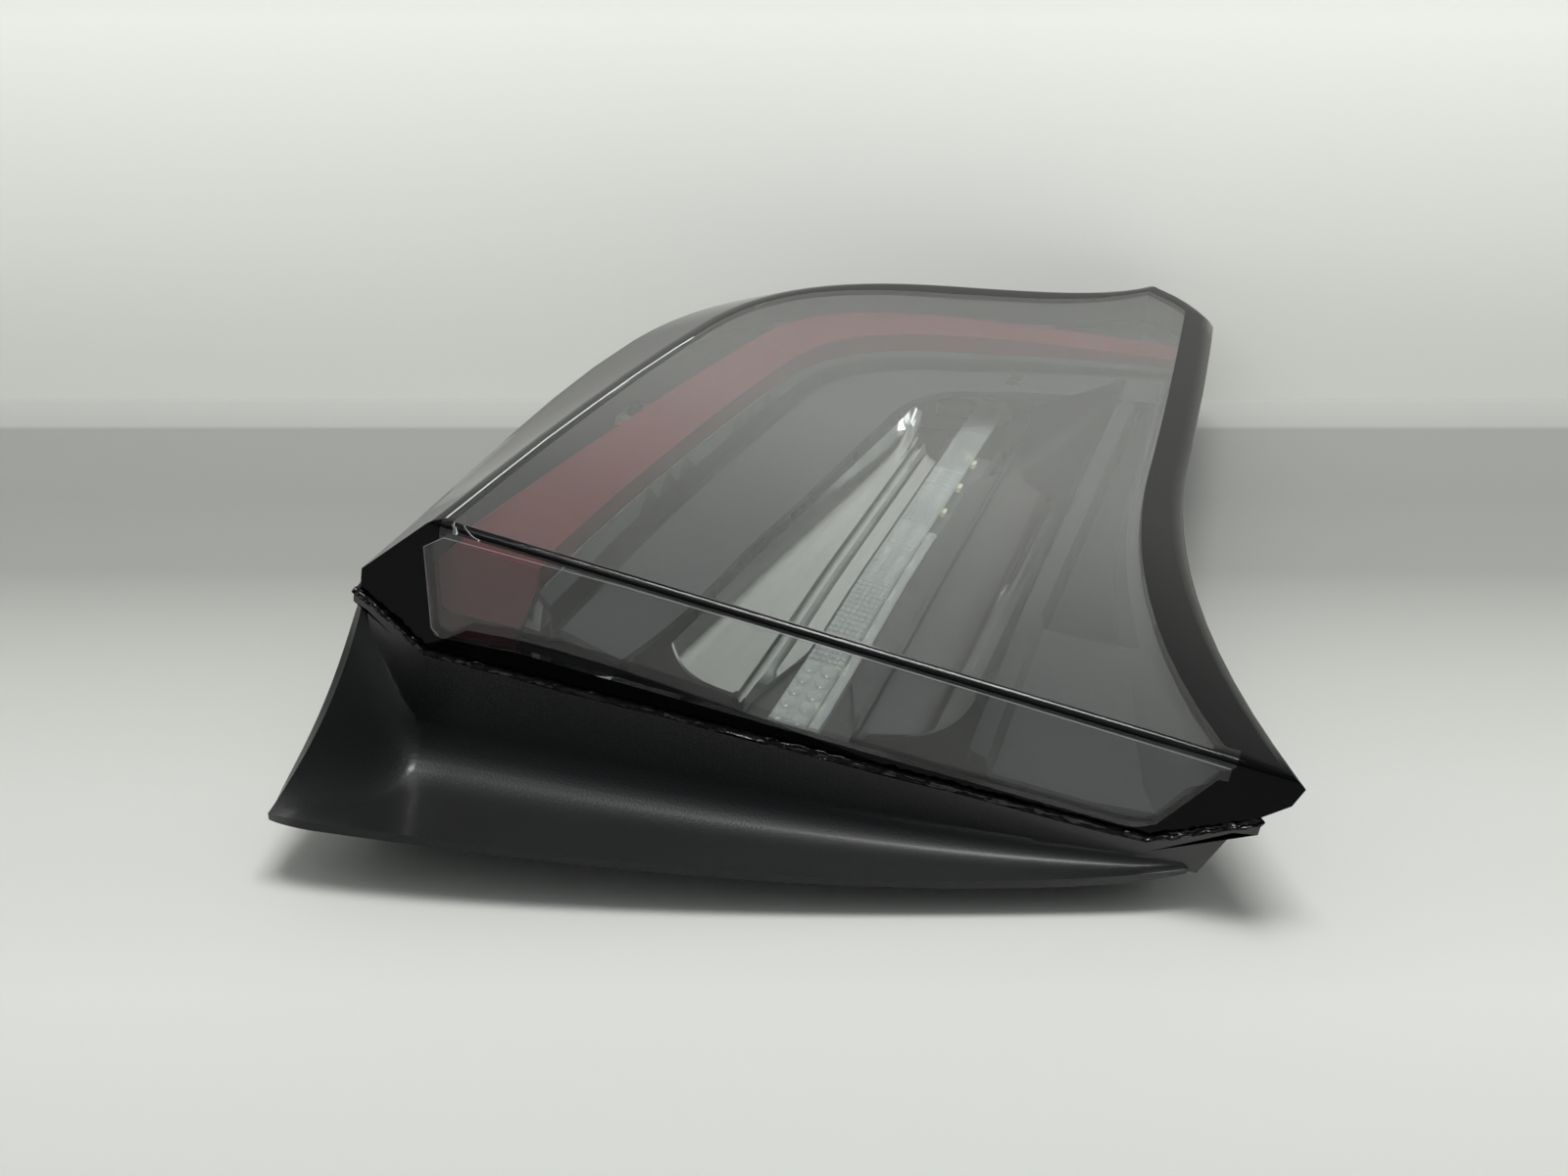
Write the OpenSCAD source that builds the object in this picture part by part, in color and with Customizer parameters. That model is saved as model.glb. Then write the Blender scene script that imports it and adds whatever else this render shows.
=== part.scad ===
// Tail light cluster: the inner, boot-lid half of a split tail lamp, lying on its back.
// X runs across the lamp, Y along it from the flat split end, Z up; the stud tips stand on z = 0.
// The lens frame is the same frame, tilted about Y so that its XY plane is the lens face.

/* [Lens] */
// Width of the lens face at the split end
lens_w = 163; // [140:1:190]
// Length of the lens face from the split end to the far tip
lens_l = 270; // [220:1:320]
// Tilt of the lens face, high side at the upper edge of the lamp
lens_tilt = 9.75; // [6:0.25:12]
// Height of the lens face above the stud tips, at the middle of the split end
lens_rise = 43.8; // [43.2:0.2:50]
// Wall of the clear moulding and its black border
lens_t = 2.8; // [2:0.2:3.4]
// Radius of the edge round the lens face
edge_r = 1.6; // [0.8:0.2:2.2]
// Height of the split end from its top edge to the weld seam, upper side
seam_upper = 28.5; // [26:0.5:30]
// Height of the split end from its top edge to the weld seam, lower side
seam_lower = 20.4; // [18:0.2:21]

/* [Housing] */
// Wall of the housing
wall_t = 2.5; // [2:0.1:3]
// Thickness of the weld flange
flange_t = 2.6; // [2:0.2:3]
// Height of the housing's back over the stud tips
back_z = 8; // [7:0.25:9]
// Depth of the shelf at its upper corner, out from the split end
shelf_d = 40; // [30:1:46]
// Thickness of the shelf
shelf_t = 2.2; // [1.6:0.2:2.6]
// Width of the weld bead
bead_w = 1.3; // [0.8:0.1:1.6]

/* [Mounting] */
// Radius of the mounting studs
stud_r = 3; // [2.5:0.25:4]
// Depth of the pocket round each upper stud
pocket_d = 11; // [8:0.5:12]
// Radius of the stud pockets
pocket_r = 13; // [12:0.5:14]
// Thickness of the body gasket
gasket_t = 3; // [2:0.25:4]

/* [Optics] */
// Depth of the red light guide's face under the lens face
guide_z = 6.5; // [5:0.5:8]
// Thickness of the red light guide
guide_t = 5; // [4:0.5:6]
// Width of the clear optic bar
bar_w = 10; // [8:0.5:11]
// Depth of the bar's face under the lens face
bar_z = 8; // [7:0.5:9]
// Height of the clear optic bar
bar_h = 17; // [15:0.5:18]
// Lamps in the light guide's row
guide_leds = 14; // [8:1:16]
// Lamps in the optic bar's row
bar_led_count = 9; // [6:1:11]

/* [Electrics] */
// Width of the plug opening
plug_w = 21; // [16:1:24]
// Height of the plug opening
plug_h = 10; // [8:0.5:12]
// Depth of the plug opening
plug_d = 13; // [10:1:14]
// Contacts in the socket
contacts = 5; // [3:1:6]

/* [Hidden] */
$fn = 48;
kx = lens_w / 163;
ky = lens_l / 270;
lens_x = 1.58;
air = 0.15;
seam_gap = 0.3;
front_y = 6;
board_t = 1.6;
carrier_z = 22;
holder_t = 1.6;

// Where each run of the outline is cut into straight steps
steps = [6, 14, 10, 5, 8, 12];
sides = len(steps);
stations = [for (i = [0:sides - 1]) for (j = [0:steps[i] - 1]) i + j / steps[i], sides];

// Edge of the lens face: upper side, shoulder, far edge, tip, lower side, flare to the split end
face_edge = [
    [[-80.8, 0], [-81.2, 50], [-80, 95], [-76.5, 138]],
    [[-76.5, 138], [-73.5, 178], [-58, 201], [-32, 218.5]],
    [[-32, 218.5], [-8, 234.5], [10, 246], [20.5, 269]],
    [[20.5, 269], [27, 268], [35.5, 259], [39.5, 250]],
    [[39.5, 250], [42, 215], [44.5, 170], [46, 127]],
    [[46, 127], [48.5, 85], [58.5, 40], [81.5, 0]]
];
// Edge of the clear window in that face, inside the black border
window_edge = [
    [[-79.2, -4], [-79.8, 50], [-78.7, 95], [-74.5, 138]],
    [[-74.5, 138], [-71, 176], [-56, 195], [-30, 211]],
    [[-30, 211], [-8, 226], [8, 236], [20.5, 262]],
    [[20.5, 262], [24, 260], [30, 256], [33, 251]],
    [[33, 251], [35, 220], [38.5, 160], [40, 115]],
    [[40, 115], [42, 75], [50, 30], [73.5, -4]]
];
// Side of the lens moulding, as steps out from that edge and down, at the joints of its runs
tip_out = [13.9, 18.5, 6, 3, 2.5, 2, 2];
tip_down = [14.8, 10, 3.5, 3, 2.5, 2.2, 1.8];
under_out = [13.9, 18.5, 6, 3, 2, 1.5, 0.7];
under_down = [17, 12.5, 7, 6.5, 6, 6, 5.7];
seam_out = [13.8, 16.5, 3.5, 1, -1, -2.5, -4.5];
seam_down = [19.8, 17, 12.5, 12, 11.5, 11, 10.5];
// Edge of the housing's back, cut into the same runs
back_edge = [
    [[-93, 0], [-93, 50], [-91, 95], [-84, 140]],
    [[-84, 140], [-78, 170], [-60, 192], [-36, 204]],
    [[-36, 204], [-18, 213], [-4, 221], [6, 231]],
    [[6, 231], [13, 238], [23, 238], [27, 229]],
    [[27, 229], [33, 205], [36, 165], [37, 127]],
    [[37, 127], [40, 88], [49.5, 45], [67, 0]]
];
// Split end from its lower side to its upper: across at the top, across at the seam, depth of the seam
end_wall = [
    [57, 61, seam_lower],
    [-8, -9, (seam_lower + seam_upper) / 2],
    [-66, -79.8, seam_upper],
    [-73, -87.5, seam_upper - 4.7]
];
// The same places along the foot of the split end, in the part's frame
back_wall = [54, -8, -72, -84];

function bezier(p, t) =
    pow(1 - t, 3) * p[0] + 3 * t * pow(1 - t, 2) * p[1] + 3 * t * t * (1 - t) * p[2] + pow(t, 3) * p[3];
function path_at(path, s) =
    let (i = max(0, min(floor(s), len(path) - 1)), p = bezier(path[i], s - i))
    [p.x * kx, p.y * ky];
// Smooth value between the entries of a list
function along(v, s) =
    let (n = len(v) - 1, i = max(0, min(floor(s), n - 1)), f = s - i)
    let (a = v[max(i - 1, 0)], b = v[i], c = v[i + 1], d = v[min(i + 2, n)])
    b + 0.5 * f * (c - a + f * (2 * a - 5 * b + 4 * c - d + f * (3 * (b - c) + d - a)));
function unit(v) = v / norm(v);
// Outward direction on the outline; the two corners of the split end look straight out
function out_at(path, s) =
    let (e = 0.02, n = len(path))
    let (d = path_at(path, min(s + e, n)) - path_at(path, max(s - e, 0)))
    unit([-d.y, d.x]);
function corner_out(s) =
    s == 0 ? [-1, 0] : s == sides ? [1, 0] : out_at(face_edge, s);
// Inward step by one wall, with the mitres of the split end's corners
function corner_in(s) =
    s == 0 ? [1, 1] : s == sides ? [-1.76, 1] : -out_at(face_edge, s);

// Point in the part's frame of a point in the lens frame
function seat(p) = [
    lens_x + p.x * cos(lens_tilt) + p.z * sin(lens_tilt),
    p.y,
    lens_rise - p.x * sin(lens_tilt) + p.z * cos(lens_tilt)
];
module seated() {
    translate([lens_x, 0, lens_rise]) rotate([0, lens_tilt, 0]) children();
}

// Ring round the lens moulding: steps out and down on the sides, a share f of the way down the split end
function end_points(in, top, f) = [for (w = end_wall)
    [(w[0] + (w[1] - w[0]) * f) * kx, in, -top - (w[2] - top) * f]];
function ring(out, down, in, top, f) = concat(
    [for (s = stations)
        let (p = path_at(face_edge, s) + corner_out(s) * along(out, s) + corner_in(s) * in)
        [p.x, s == 0 || s == sides ? in : max(p.y, in), -along(down, s)]],
    end_points(in, top, f)
);
function flat(v) = [for (i = [0:sides]) v];
function raise(v, d) = [for (x = v) x - d];
function seat_all(r) = [for (p = r) seat(p)];
function lower(r, d) = [for (p = r) [p.x, p.y, p.z - d]];
function at_level(r, z) = [for (p = r) [p.x, p.y, z]];

// Closed solid through rings of points, capped by the first ring and the last. With hubs, one point
// inside each end ring, the caps are fans round them. A sheet, whose rings run out on one face and
// back on the other, is capped by strips across its wall.
module skin(rings, hubs = [], sheet = false) {
    n = len(rings[0]);
    m = len(rings);
    last = (m - 1) * n;
    strips = [for (i = [0:n / 2 - 2]) each [[i, i + 1, n - 1 - i], [i + 1, n - 2 - i, n - 1 - i]]];
    polyhedron(
        points = concat([for (r = rings) for (p = r) p], hubs),
        faces = concat(
            len(hubs) > 0
                ? [for (i = [0:n - 1]) [m * n, i, (i + 1) % n]]
                : sheet ? strips : [[for (i = [0:n - 1]) i]],
            [for (k = [0:m - 2]) for (i = [0:n - 1])
                let (j = (i + 1) % n) [k * n + j, k * n + i, (k + 1) * n + i]],
            [for (k = [0:m - 2]) for (i = [0:n - 1])
                let (j = (i + 1) % n) [k * n + j, (k + 1) * n + i, (k + 1) * n + j]],
            len(hubs) > 0
                ? [for (i = [0:n - 1]) [m * n + 1, last + (i + 1) % n, last + i]]
                : sheet
                    ? [for (t = strips) [last + t[2], last + t[1], last + t[0]]]
                    : [[for (i = [n - 1:-1:0]) last + i]]
        ),
        convexity = 12
    );
}
// Closed band through rings of points, the last joined to the first
module band(rings) {
    n = len(rings[0]);
    m = len(rings);
    polyhedron(
        points = [for (r = rings) for (p = r) p],
        faces = concat(
            [for (k = [0:m - 1]) for (i = [0:n - 1])
                let (j = (i + 1) % n, l = (k + 1) % m) [k * n + j, k * n + i, l * n + i]],
            [for (k = [0:m - 1]) for (i = [0:n - 1])
                let (j = (i + 1) % n, l = (k + 1) % m) [k * n + j, l * n + i, l * n + j]]
        ),
        convexity = 12
    );
}

// Rings of the lens moulding, from its top face down the outside and up the inside
flank_step = [for (i = [0:sides]) edge_r * unit([tip_out[i], tip_down[i]])];
round_out = [for (i = [0:sides]) flank_step[i].x];
round_down = [for (i = [0:sides]) flank_step[i].y];
tip_turn = 0.86;
lens_rings = [
    ring(flat(0), flat(0), edge_r, 0, 0),
    ring(round_out * 0.3, round_down * 0.3, edge_r * 0.29, edge_r * 0.29, 0),
    ring(round_out, round_down, 0, edge_r, 0),
    ring(tip_out * tip_turn, tip_down * tip_turn, 0, edge_r, 0.35),
    ring(tip_out, tip_down, 0, edge_r, 0.5),
    ring(under_out, under_down, 0, edge_r, 0.7),
    ring(seam_out, seam_down, 0, edge_r, 1),
    ring(seam_out, seam_down, lens_t, edge_r, 1),
    ring(under_out, under_down, lens_t, edge_r, 0.6),
    ring(tip_out * tip_turn, raise(tip_down, -0.6), lens_t, edge_r, 0.4),
    ring(flat(0), flat(lens_t), lens_t, lens_t, 0)
];

hub = [-20 * kx, 100 * ky];
module lens_moulding() {
    seated() skin(lens_rings, [[hub.x, hub.y, 0], [hub.x, hub.y, -lens_t]]);
}

// What is clear in the moulding: the window of the face and the window of the split end
module clear_region() {
    foot_z = -seam_upper;
    seated() {
        translate([0, 0, -lens_t - 2]) linear_extrude(lens_t + 6)
            polygon([for (s = stations) path_at(window_edge, s)]);
        rotate([90, 0, 0]) translate([0, 0, -lens_t - 0.5]) linear_extrude(lens_t + 6)
            polygon([
                [-79.2 * kx, 4], [-79.2 * kx, -3.7], [-82.2 * kx, -6.3], [-79.4 * kx, foot_z + 5.6],
                [-78.7 * kx, foot_z + 4.4], [-77.2 * kx, foot_z + 3.9], [-61.2 * kx, foot_z + 5.9],
                [-42 * kx, foot_z + 6.3], [55.5 * kx, 1.1 - seam_lower], [58.5 * kx, 1.6 - seam_lower],
                [61.4 * kx, 3.2 - seam_lower], [71.5 * kx, -1.3], [71.5 * kx, 4]
            ]);
    }
}

module outer_lens() {
    color([0.30, 0.32, 0.31, 0.5]) intersection() {
        lens_moulding();
        clear_region();
    }
}

module lens_border() {
    color([0.05, 0.05, 0.06]) difference() {
        lens_moulding();
        clear_region();
    }
}

// Bead squeezed out of the weld, outside the seam
bead_rise = 0.7;
// How far out the moulding's side is at a height over the seam
function side_at(s, rise) = let (a = along(seam_out, s), b = along(under_out, s))
    a + (b - a) * rise / (along(seam_down, s) - along(under_down, s));
function bead_ring(out, down) = concat(
    [for (s = stations)
        let (p = path_at(face_edge, s) + corner_out(s) * (side_at(s, max(0, -down)) + out))
        [p.x, s == 0 || s == sides ? -out : max(p.y, -out), -along(seam_down, s) - down]],
    [for (w = end_wall) [w[1] * kx, -out, -w[2] - down]]
);
module weld_bead() {
    color([0.03, 0.03, 0.03]) seated() band([
        bead_ring(0.15, -bead_rise),
        bead_ring(bead_w * 0.8, -bead_rise),
        bead_ring(bead_w, 0),
        bead_ring(bead_w * 0.8, 0.2),
        bead_ring(0.15, 0.2)
    ]);
}

// Housing: its rings run from the inner floor up the inside, over the flange and down the outside
flange_out = [1.4, 1.4, 1.2, 1.2, 1.2, 1.2, 1.4];
side_in = [1.6, 1.6, 2.6, 2.6, 2.6, 2.6, 2.6];
seam_lap = [1.9, -2, -2, -2, -2, -2, 0.9];
function drop_end(r, d) = [for (i = [0:len(r) - 1])
    i < len(stations) ? r[i] : [r[i].x, r[i].y, r[i].z - d]];
function seam_ring(out, in, down) =
    drop_end(seat_all(ring(seam_out + out, raise(seam_down, -down), in, edge_r, 1)), down);
function back_ring(in) = concat(
    [for (s = stations)
        let (d = s == 0 ? [1, 1] : s == sides ? [-1.5, 1] : -out_at(back_edge, s), p = path_at(back_edge, s) + d * in)
        [p.x, max(p.y, in)]],
    [for (x = back_wall) [x * kx, in]]
);
module housing_tub() {
    skin([
        at_level(back_ring(wall_t), back_z + wall_t),
        seam_ring(-side_in, wall_t, flange_t + 1),
        seam_ring(seam_lap, lens_t, seam_gap),
        seam_ring(flange_out, 0, seam_gap),
        seam_ring(flange_out, 0, flange_t),
        seam_ring(-side_in, 0, flange_t + 1),
        at_level(back_ring(0), back_z)
    ], [[hub.x, hub.y, back_z + wall_t], [hub.x, hub.y, back_z]]);
}

// Shelf at the foot of the split end: rows of control points down the wall, through the fold, to the lip.
// Its upper end sweeps up into a web, so that end has a column of its own.
shelf_rows = [
    [[-84, 0.005, 17], [-50, 0.005, 15], [20, 0.005, 12], [64, 0.005, 11.5]],
    [[-84, 0.005, 0], [-50, 0.005, -1], [22, 0.005, 0.5], [64.4, 0.005, 9.6]],
    [[-84, -0.25, 1.2], [-50, -0.25, 0.8], [22, -0.14, 0.5], [65, -0.008, 8.9]],
    [[-86, -1, 13.5], [-40, -0.9, 12.5], [20, -0.42, 3.2], [65.4, -0.016, 8.7]]
];
web_edge = [[-95.2, 0.02, 38], [-96.5, -0.17, 23], [-95.8, -0.55, 16.5], [-94.2, -1, 13.8]];
web_part = 0.16;
function shelf_point(p) = [p.x * kx, p.y * shelf_d, p.z];
function ease(f) = f * f * (3 - 2 * f);
function shelf_at(u, v) = let (
        g = max(0, 1 - u / web_part),
        w = max(0, u - web_part) / (1 - web_part),
        base = bezier([for (row = shelf_rows) bezier([for (p = row) shelf_point(p)], w)], v),
        edge = bezier([for (p = web_edge) shelf_point(p)], v),
        rise = pow(g, 1.6))
    [base.x + (edge.x - base.x) * g, base.y + (edge.y - base.y) * rise, base.z + (edge.z - base.z) * rise];
function shelf_normal(u, v) = let (e = 0.004)
    unit(cross(
        shelf_at(min(u + e, 1), v) - shelf_at(max(u - e, 0), v),
        shelf_at(u, min(v + e, 1)) - shelf_at(u, max(v - e, 0))
    ));
web_cols = 7;
shelf_cols = 16;
shelf_v = 14;
shelf_us = concat(
    [for (i = [0:web_cols - 1]) web_part * i / web_cols],
    [for (i = [0:shelf_cols]) web_part + (1 - web_part) * i / shelf_cols]
);
module shelf() {
    skin([for (u = shelf_us) concat(
        [for (j = [0:shelf_v]) shelf_at(u, j / shelf_v)],
        [for (j = [shelf_v:-1:0]) shelf_at(u, j / shelf_v) + shelf_t * (1 - 0.35 * j / shelf_v) * shelf_normal(u, j / shelf_v)]
    )], sheet = true);
}

// Stud places: x, y, and the height of the seat in its pocket
upper_stud = [-72 * kx, 42 * ky, back_z + pocket_d];
lower_stud = [28 * kx, 58 * ky, back_z + pocket_d - 5];
far_stud = [-20 * kx, 188 * ky, back_z + pocket_d - 1];
studs = [upper_stud, lower_stud, far_stud];

// Everything under a depth below the lens face
module under_lens(depth) {
    seated() translate([-150, -60, -depth - 120]) cube([300, 420, 120]);
}
// Post from the housing's floor up to a depth under the lens face
module post(x, y, r, depth) {
    intersection() {
        translate([seat([x, y, -depth]).x, y, back_z + 1]) cylinder(r = r, h = 80);
        under_lens(depth);
    }
}
bar_x = -10.5;
bar_share = 0.578;
bar_l = bar_share * lens_l;
// Places of the supports, in the lens frame
carrier_posts = [[-85 * kx, 48 * ky], [-84 * kx, 118 * ky]];
carrier_screw_depth = carrier_z + 2;
holder_posts = [[-5 * kx, 40 * ky], [-5 * kx, 140 * ky]];
holder_depth = bar_z + bar_h + holder_t + board_t + 1.4;
bezel_posts = [[37 * kx, 24 * ky, 17.4], [33 * kx, 120 * ky, 16.9], [-44 * kx, 58 * ky, 19]];
guide_posts = [[-45 * kx, 186 * ky]];
board_at = [-70 * kx, 66 * ky, back_z + wall_t + 4];
board_size = [44 * kx, 52 * ky, board_t];
board_posts = [for (x = [4, board_size.x - 4]) for (y = [4, board_size.y - 4])
    [board_at.x + x, board_at.y + y]];
plug_at = [-40 * kx, 145 * ky];
plug_wall = 1.8;
breather_at = [10 * kx, 122 * ky];
pin_at = [-52 * kx, 22 * ky];

module stud_pocket(s) {
    translate([s.x, s.y, back_z]) cylinder(r = pocket_r + wall_t, h = s.z - back_z + wall_t);
}
module stud_pocket_void(s) {
    translate([s.x, s.y, back_z - 1]) cylinder(r = pocket_r, h = s.z - back_z + 1);
    translate([s.x, s.y, back_z]) cylinder(r = stud_r + 0.1, h = 40);
}

module housing() {
    color([0.07, 0.08, 0.08]) difference() {
        union() {
            housing_tub();
            shelf();
            for (s = studs) stud_pocket(s);
            for (p = carrier_posts) post(p.x, p.y, 4, carrier_screw_depth);
            for (p = holder_posts) post(p.x, p.y, 3.6, holder_depth);
            for (p = bezel_posts) post(p.x, p.y, 2.6, p.z);
            for (p = guide_posts) post(p.x, p.y, 4, carrier_screw_depth);
            for (p = board_posts) translate([p.x, p.y, back_z + 1])
                cylinder(r = 3, h = board_at.z - back_z - 1);
            translate([pin_at.x, pin_at.y, back_z - 5.5]) cylinder(r = 3.5, h = 6);
        }
        for (s = studs) stud_pocket_void(s);
        for (p = carrier_posts) seated() translate([p.x, p.y, -carrier_screw_depth - 8])
            cylinder(r = 1.25, h = 20);
        for (p = board_posts) translate([p.x, p.y, back_z + wall_t])
            cylinder(r = 1.1, h = 10);
        translate([plug_at.x - plug_w / 2 - plug_wall - 0.1, plug_at.y - plug_h / 2 - plug_wall - 0.1, back_z - 1])
            cube([plug_w + 2 * plug_wall + 0.2, plug_h + 2 * plug_wall + 0.2, wall_t + 2]);
        translate([breather_at.x, breather_at.y, back_z - 1]) cylinder(r = 4.1, h = wall_t + 2);
    }
}

// Rows along the inner trim, from the split end round the shoulder: the red guide and the terraces
guide_outer = [
    [[-81.2, 6], [-77.8, 60], [-73, 118], [-66.5, 163]],
    [[-66.5, 163], [-60, 200], [-22, 213], [36, 234]]
];
guide_inner = [
    [[-60.5, 6], [-60, 55], [-58, 105], [-53, 146]],
    [[-53, 146], [-47, 182], [-18, 197], [36, 218]]
];
strip_edge = [
    [[-57.5, 6], [-57, 55], [-55, 103], [-50.5, 146]],
    [[-50.5, 146], [-45, 180], [-16, 193], [36, 213]]
];
recess_edge = [
    [[-54.7, 6], [-53.5, 50], [-51.5, 98], [-46.5, 143]],
    [[-46.5, 143], [-41, 174], [-13, 186], [36, 207]]
];
panel_edge = [
    [[-42, 6], [-30, 35], [-29.5, 90], [-26, 130]],
    [[-26, 130], [-25.5, 168], [-12, 174], [36, 186]]
];
trim_steps = 14;
trim_stations = [for (i = [0:2 * trim_steps]) i / trim_steps];
// The tray under the guide stops short of the housing's lower wall
tray_end = 1.8;
tray_stations = concat([for (s = trim_stations) if (s < tray_end) s], tray_end);
function trim_point(path, s, z) = let (p = path_at(path, s)) [p.x, p.y, -z];
function mixed(a, b, f, s) = path_at(a, s) * (1 - f) + path_at(b, s) * f;

// Red light guide: a thick slab with a turned-down face at the split end
module tail_light_guide() {
    chamfer = 3.4;
    body = [[-83.6, -13.6], [-77.6, -7.2], [-60.7, -7.2], [-60.7, -13], [-63.4, -20.6], [-64.6, -26.6], [-82, -27.4]];
    panel = [[-81, -11.4], [-77.4, -6.9], [-60.8, -6.9], [-60.9, -12.4], [-62.9, -20.3], [-78, -21.3], [-79.8, -20.2]];
    color([0.42, 0.06, 0.08]) seated() {
        skin([for (s = trim_stations)
            let (o = path_at(guide_outer, s), i = path_at(guide_inner, s), c = mixed(guide_outer, guide_inner, 0.17, s))
            [
                [o.x, o.y, -guide_z - chamfer], [c.x, c.y, -guide_z], [i.x, i.y, -guide_z],
                [i.x, i.y, -guide_z - guide_t], [o.x, o.y, -guide_z - guide_t]
            ]]);
        for (plate = [[body, 1, 2.6], [panel, 0, 1.2]]) translate([0, front_y * ky + plate[1], 0])
            rotate([90, 0, 0]) mirror([0, 0, 1]) linear_extrude(plate[2])
                polygon([for (p = plate[0]) [p.x * kx, p.y + 6.5 - guide_z]]);
    }
}

// White tray that carries the guide and its lamps
module tail_guide_carrier() {
    wall = 1.6;
    lip = guide_z + guide_t + air;
    color([0.80, 0.80, 0.78]) seated() difference() {
        union() {
            skin([for (s = tray_stations)
                let (a = path_at(guide_outer, s), b = path_at(guide_inner, s))
                let (ya = max(a.y, (front_y + 4) * ky), yb = max(b.y, (front_y + 4) * ky))
                [
                    [a.x, ya, -lip], [b.x, yb, -lip], [b.x, yb, -carrier_z], [a.x, ya, -carrier_z]
                ]]);
            for (p = carrier_posts) translate([p.x - 4, p.y - 5, -carrier_z - 1.8])
                cube([path_at(guide_outer, 0.4).x - p.x + 8, 10, 2.2]);
            for (p = carrier_posts) translate([p.x - 4, p.y - 5, -carrier_z - 1.8]) cube([8, 10, 2.2]);
            for (p = guide_posts) translate([p.x, p.y, -carrier_z - 1.8]) cylinder(r = 5, h = 2);
        }
        skin([for (s = tray_stations)
            let (a = path_at(guide_outer, s), b = path_at(guide_inner, s), n = out_at(guide_outer, s))
            let (ya = max(a.y, (front_y + 4) * ky), yb = max(b.y, (front_y + 4) * ky))
            let (q = [wall * 1.1, wall * 1.3], e = s == 0 ? [0, -5] : s == tray_end ? [5, 0] : [0, 0])
            [
                [a.x - n.x * q.x + e.x, ya - n.y * q.y + e.y, -lip + 1],
                [b.x + n.x * q.x + e.x, yb + n.y * q.y + e.y, -lip + 1],
                [b.x + n.x * q.x + e.x, yb + n.y * q.y + e.y, -carrier_z + wall],
                [a.x - n.x * q.x + e.x, ya - n.y * q.y + e.y, -carrier_z + wall]
            ]]);
        for (p = carrier_posts) translate([p.x, p.y, -carrier_z - 4]) cylinder(r = 1.7, h = 8);
    }
}
module tail_circuit_board() {
    inset = 3.2;
    z = carrier_z - 1.6 - 0.05;
    color([0.05, 0.25, 0.12]) seated() skin([for (s = tray_stations)
        let (a = path_at(guide_outer, s), b = path_at(guide_inner, s), n = out_at(guide_outer, s))
        let (ya = max(a.y, (front_y + 5) * ky), yb = max(b.y, (front_y + 5) * ky))
        let (e = s == tray_end ? [-2, 0] : [0, 0])
        [
            [a.x - n.x * inset + e.x, ya - n.y * inset + e.y, board_t - z],
            [b.x + n.x * inset + e.x, yb + n.y * inset + e.y, board_t - z],
            [b.x + n.x * inset + e.x, yb + n.y * inset + e.y, -z],
            [a.x - n.x * inset + e.x, ya - n.y * inset + e.y, -z]
        ]]);
}
module tail_leds() {
    z = carrier_z - 1.6 - board_t - 0.05;
    color([0.95, 0.90, 0.55]) seated() for (i = [0:guide_leds - 1]) {
        c = mixed(guide_outer, guide_inner, 0.5, 0.08 + (tray_end - 0.2) * i / (guide_leds - 1));
        translate([c.x - 1.6, c.y - 1.6, -z]) cube([3.2, 3.2, 1.4]);
    }
}

// Terraced trim: a strip, a recess and a panel beside the guide, and the panel of the lower side.
// Each depth is given along the rows, from the split end to where the two parts join.
bezel_t = 1.6;
join_z = 8.8;
strip_z = [[0, 13.5], [1.2, 12], [1.6, 11.6], [2, join_z]];
recess_z = [[0, 18.6], [1.2, 14.5], [1.6, 14], [2, join_z]];
lip_z = [[0, 17.7], [1.2, 13], [1.6, 12.6], [2, join_z]];
panel_z = [[0, 20.3], [0.4, 12.8], [1.6, 12.5], [2, join_z]];
function terrace(s) = [
    let (p = mixed(guide_inner, strip_edge, 0.15, s)) [p.x, p.y, -lookup(s, [[0, 11.2], [1.6, 11], [2, join_z]])],
    trim_point(strip_edge, s, lookup(s, strip_z)),
    let (p = mixed(strip_edge, recess_edge, 0.4, s)) [p.x, p.y, -lookup(s, recess_z)],
    trim_point(recess_edge, s, lookup(s, lip_z)),
    trim_point(panel_edge, s, lookup(s, panel_z))
];
function slab(top) = concat(top, [for (i = [len(top) - 1:-1:0]) [top[i].x, top[i].y, top[i].z - bezel_t]]);
// Lower panel: a ramp up from the split end, then a sunk floor between two rims
lower_vs = [0, 0.04, 0.08, 0.12, 0.16, 0.2, 0.225, 0.32, 0.42, 0.52, 0.62, 0.72, 0.82, 0.92, 1];
floor_z = [[0, 20], [0.04, 19], [0.12, 13.6], [0.2, 9.6], [0.225, 14.5], [0.9, 14], [1, 9.7]];
rim_z = [[0, 16.5], [0.04, 14], [0.2, 7.6], [0.9, 7.4], [1, 9.5]];
edge_z = [[0, 11], [0.12, 9], [0.2, 8.4], [0.9, 7.8], [1, 9.6]];
function lower_panel(v) = let (
        y = (front_y + 184 * v) * ky,
        s = sides - 0.05 - 1.62 * v,
        w = path_at(face_edge, s) - out_at(face_edge, s) * (lens_t + 5),
        r = [w.x, v == 0 ? y : w.y],
        a = 31 * kx,
        d = r.x - a,
        ym = v == 0 ? y : (y + w.y) / 2,
        f = lookup(v, floor_z))
    [
        [26 * kx, y, -lookup(v, rim_z)], [29.5 * kx, y, -lookup(v, rim_z) - 1],
        [a, y, -f], [a + d * 0.45, ym, -f * 0.98],
        [a + d * 0.74, ym, -f * 0.9], [a + d * 0.84, (ym + r.y) / 2, -lookup(v, edge_z)],
        [r.x, r.y, -lookup(v, [[0.9, 7], [1, 9.5]])]
    ];
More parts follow.
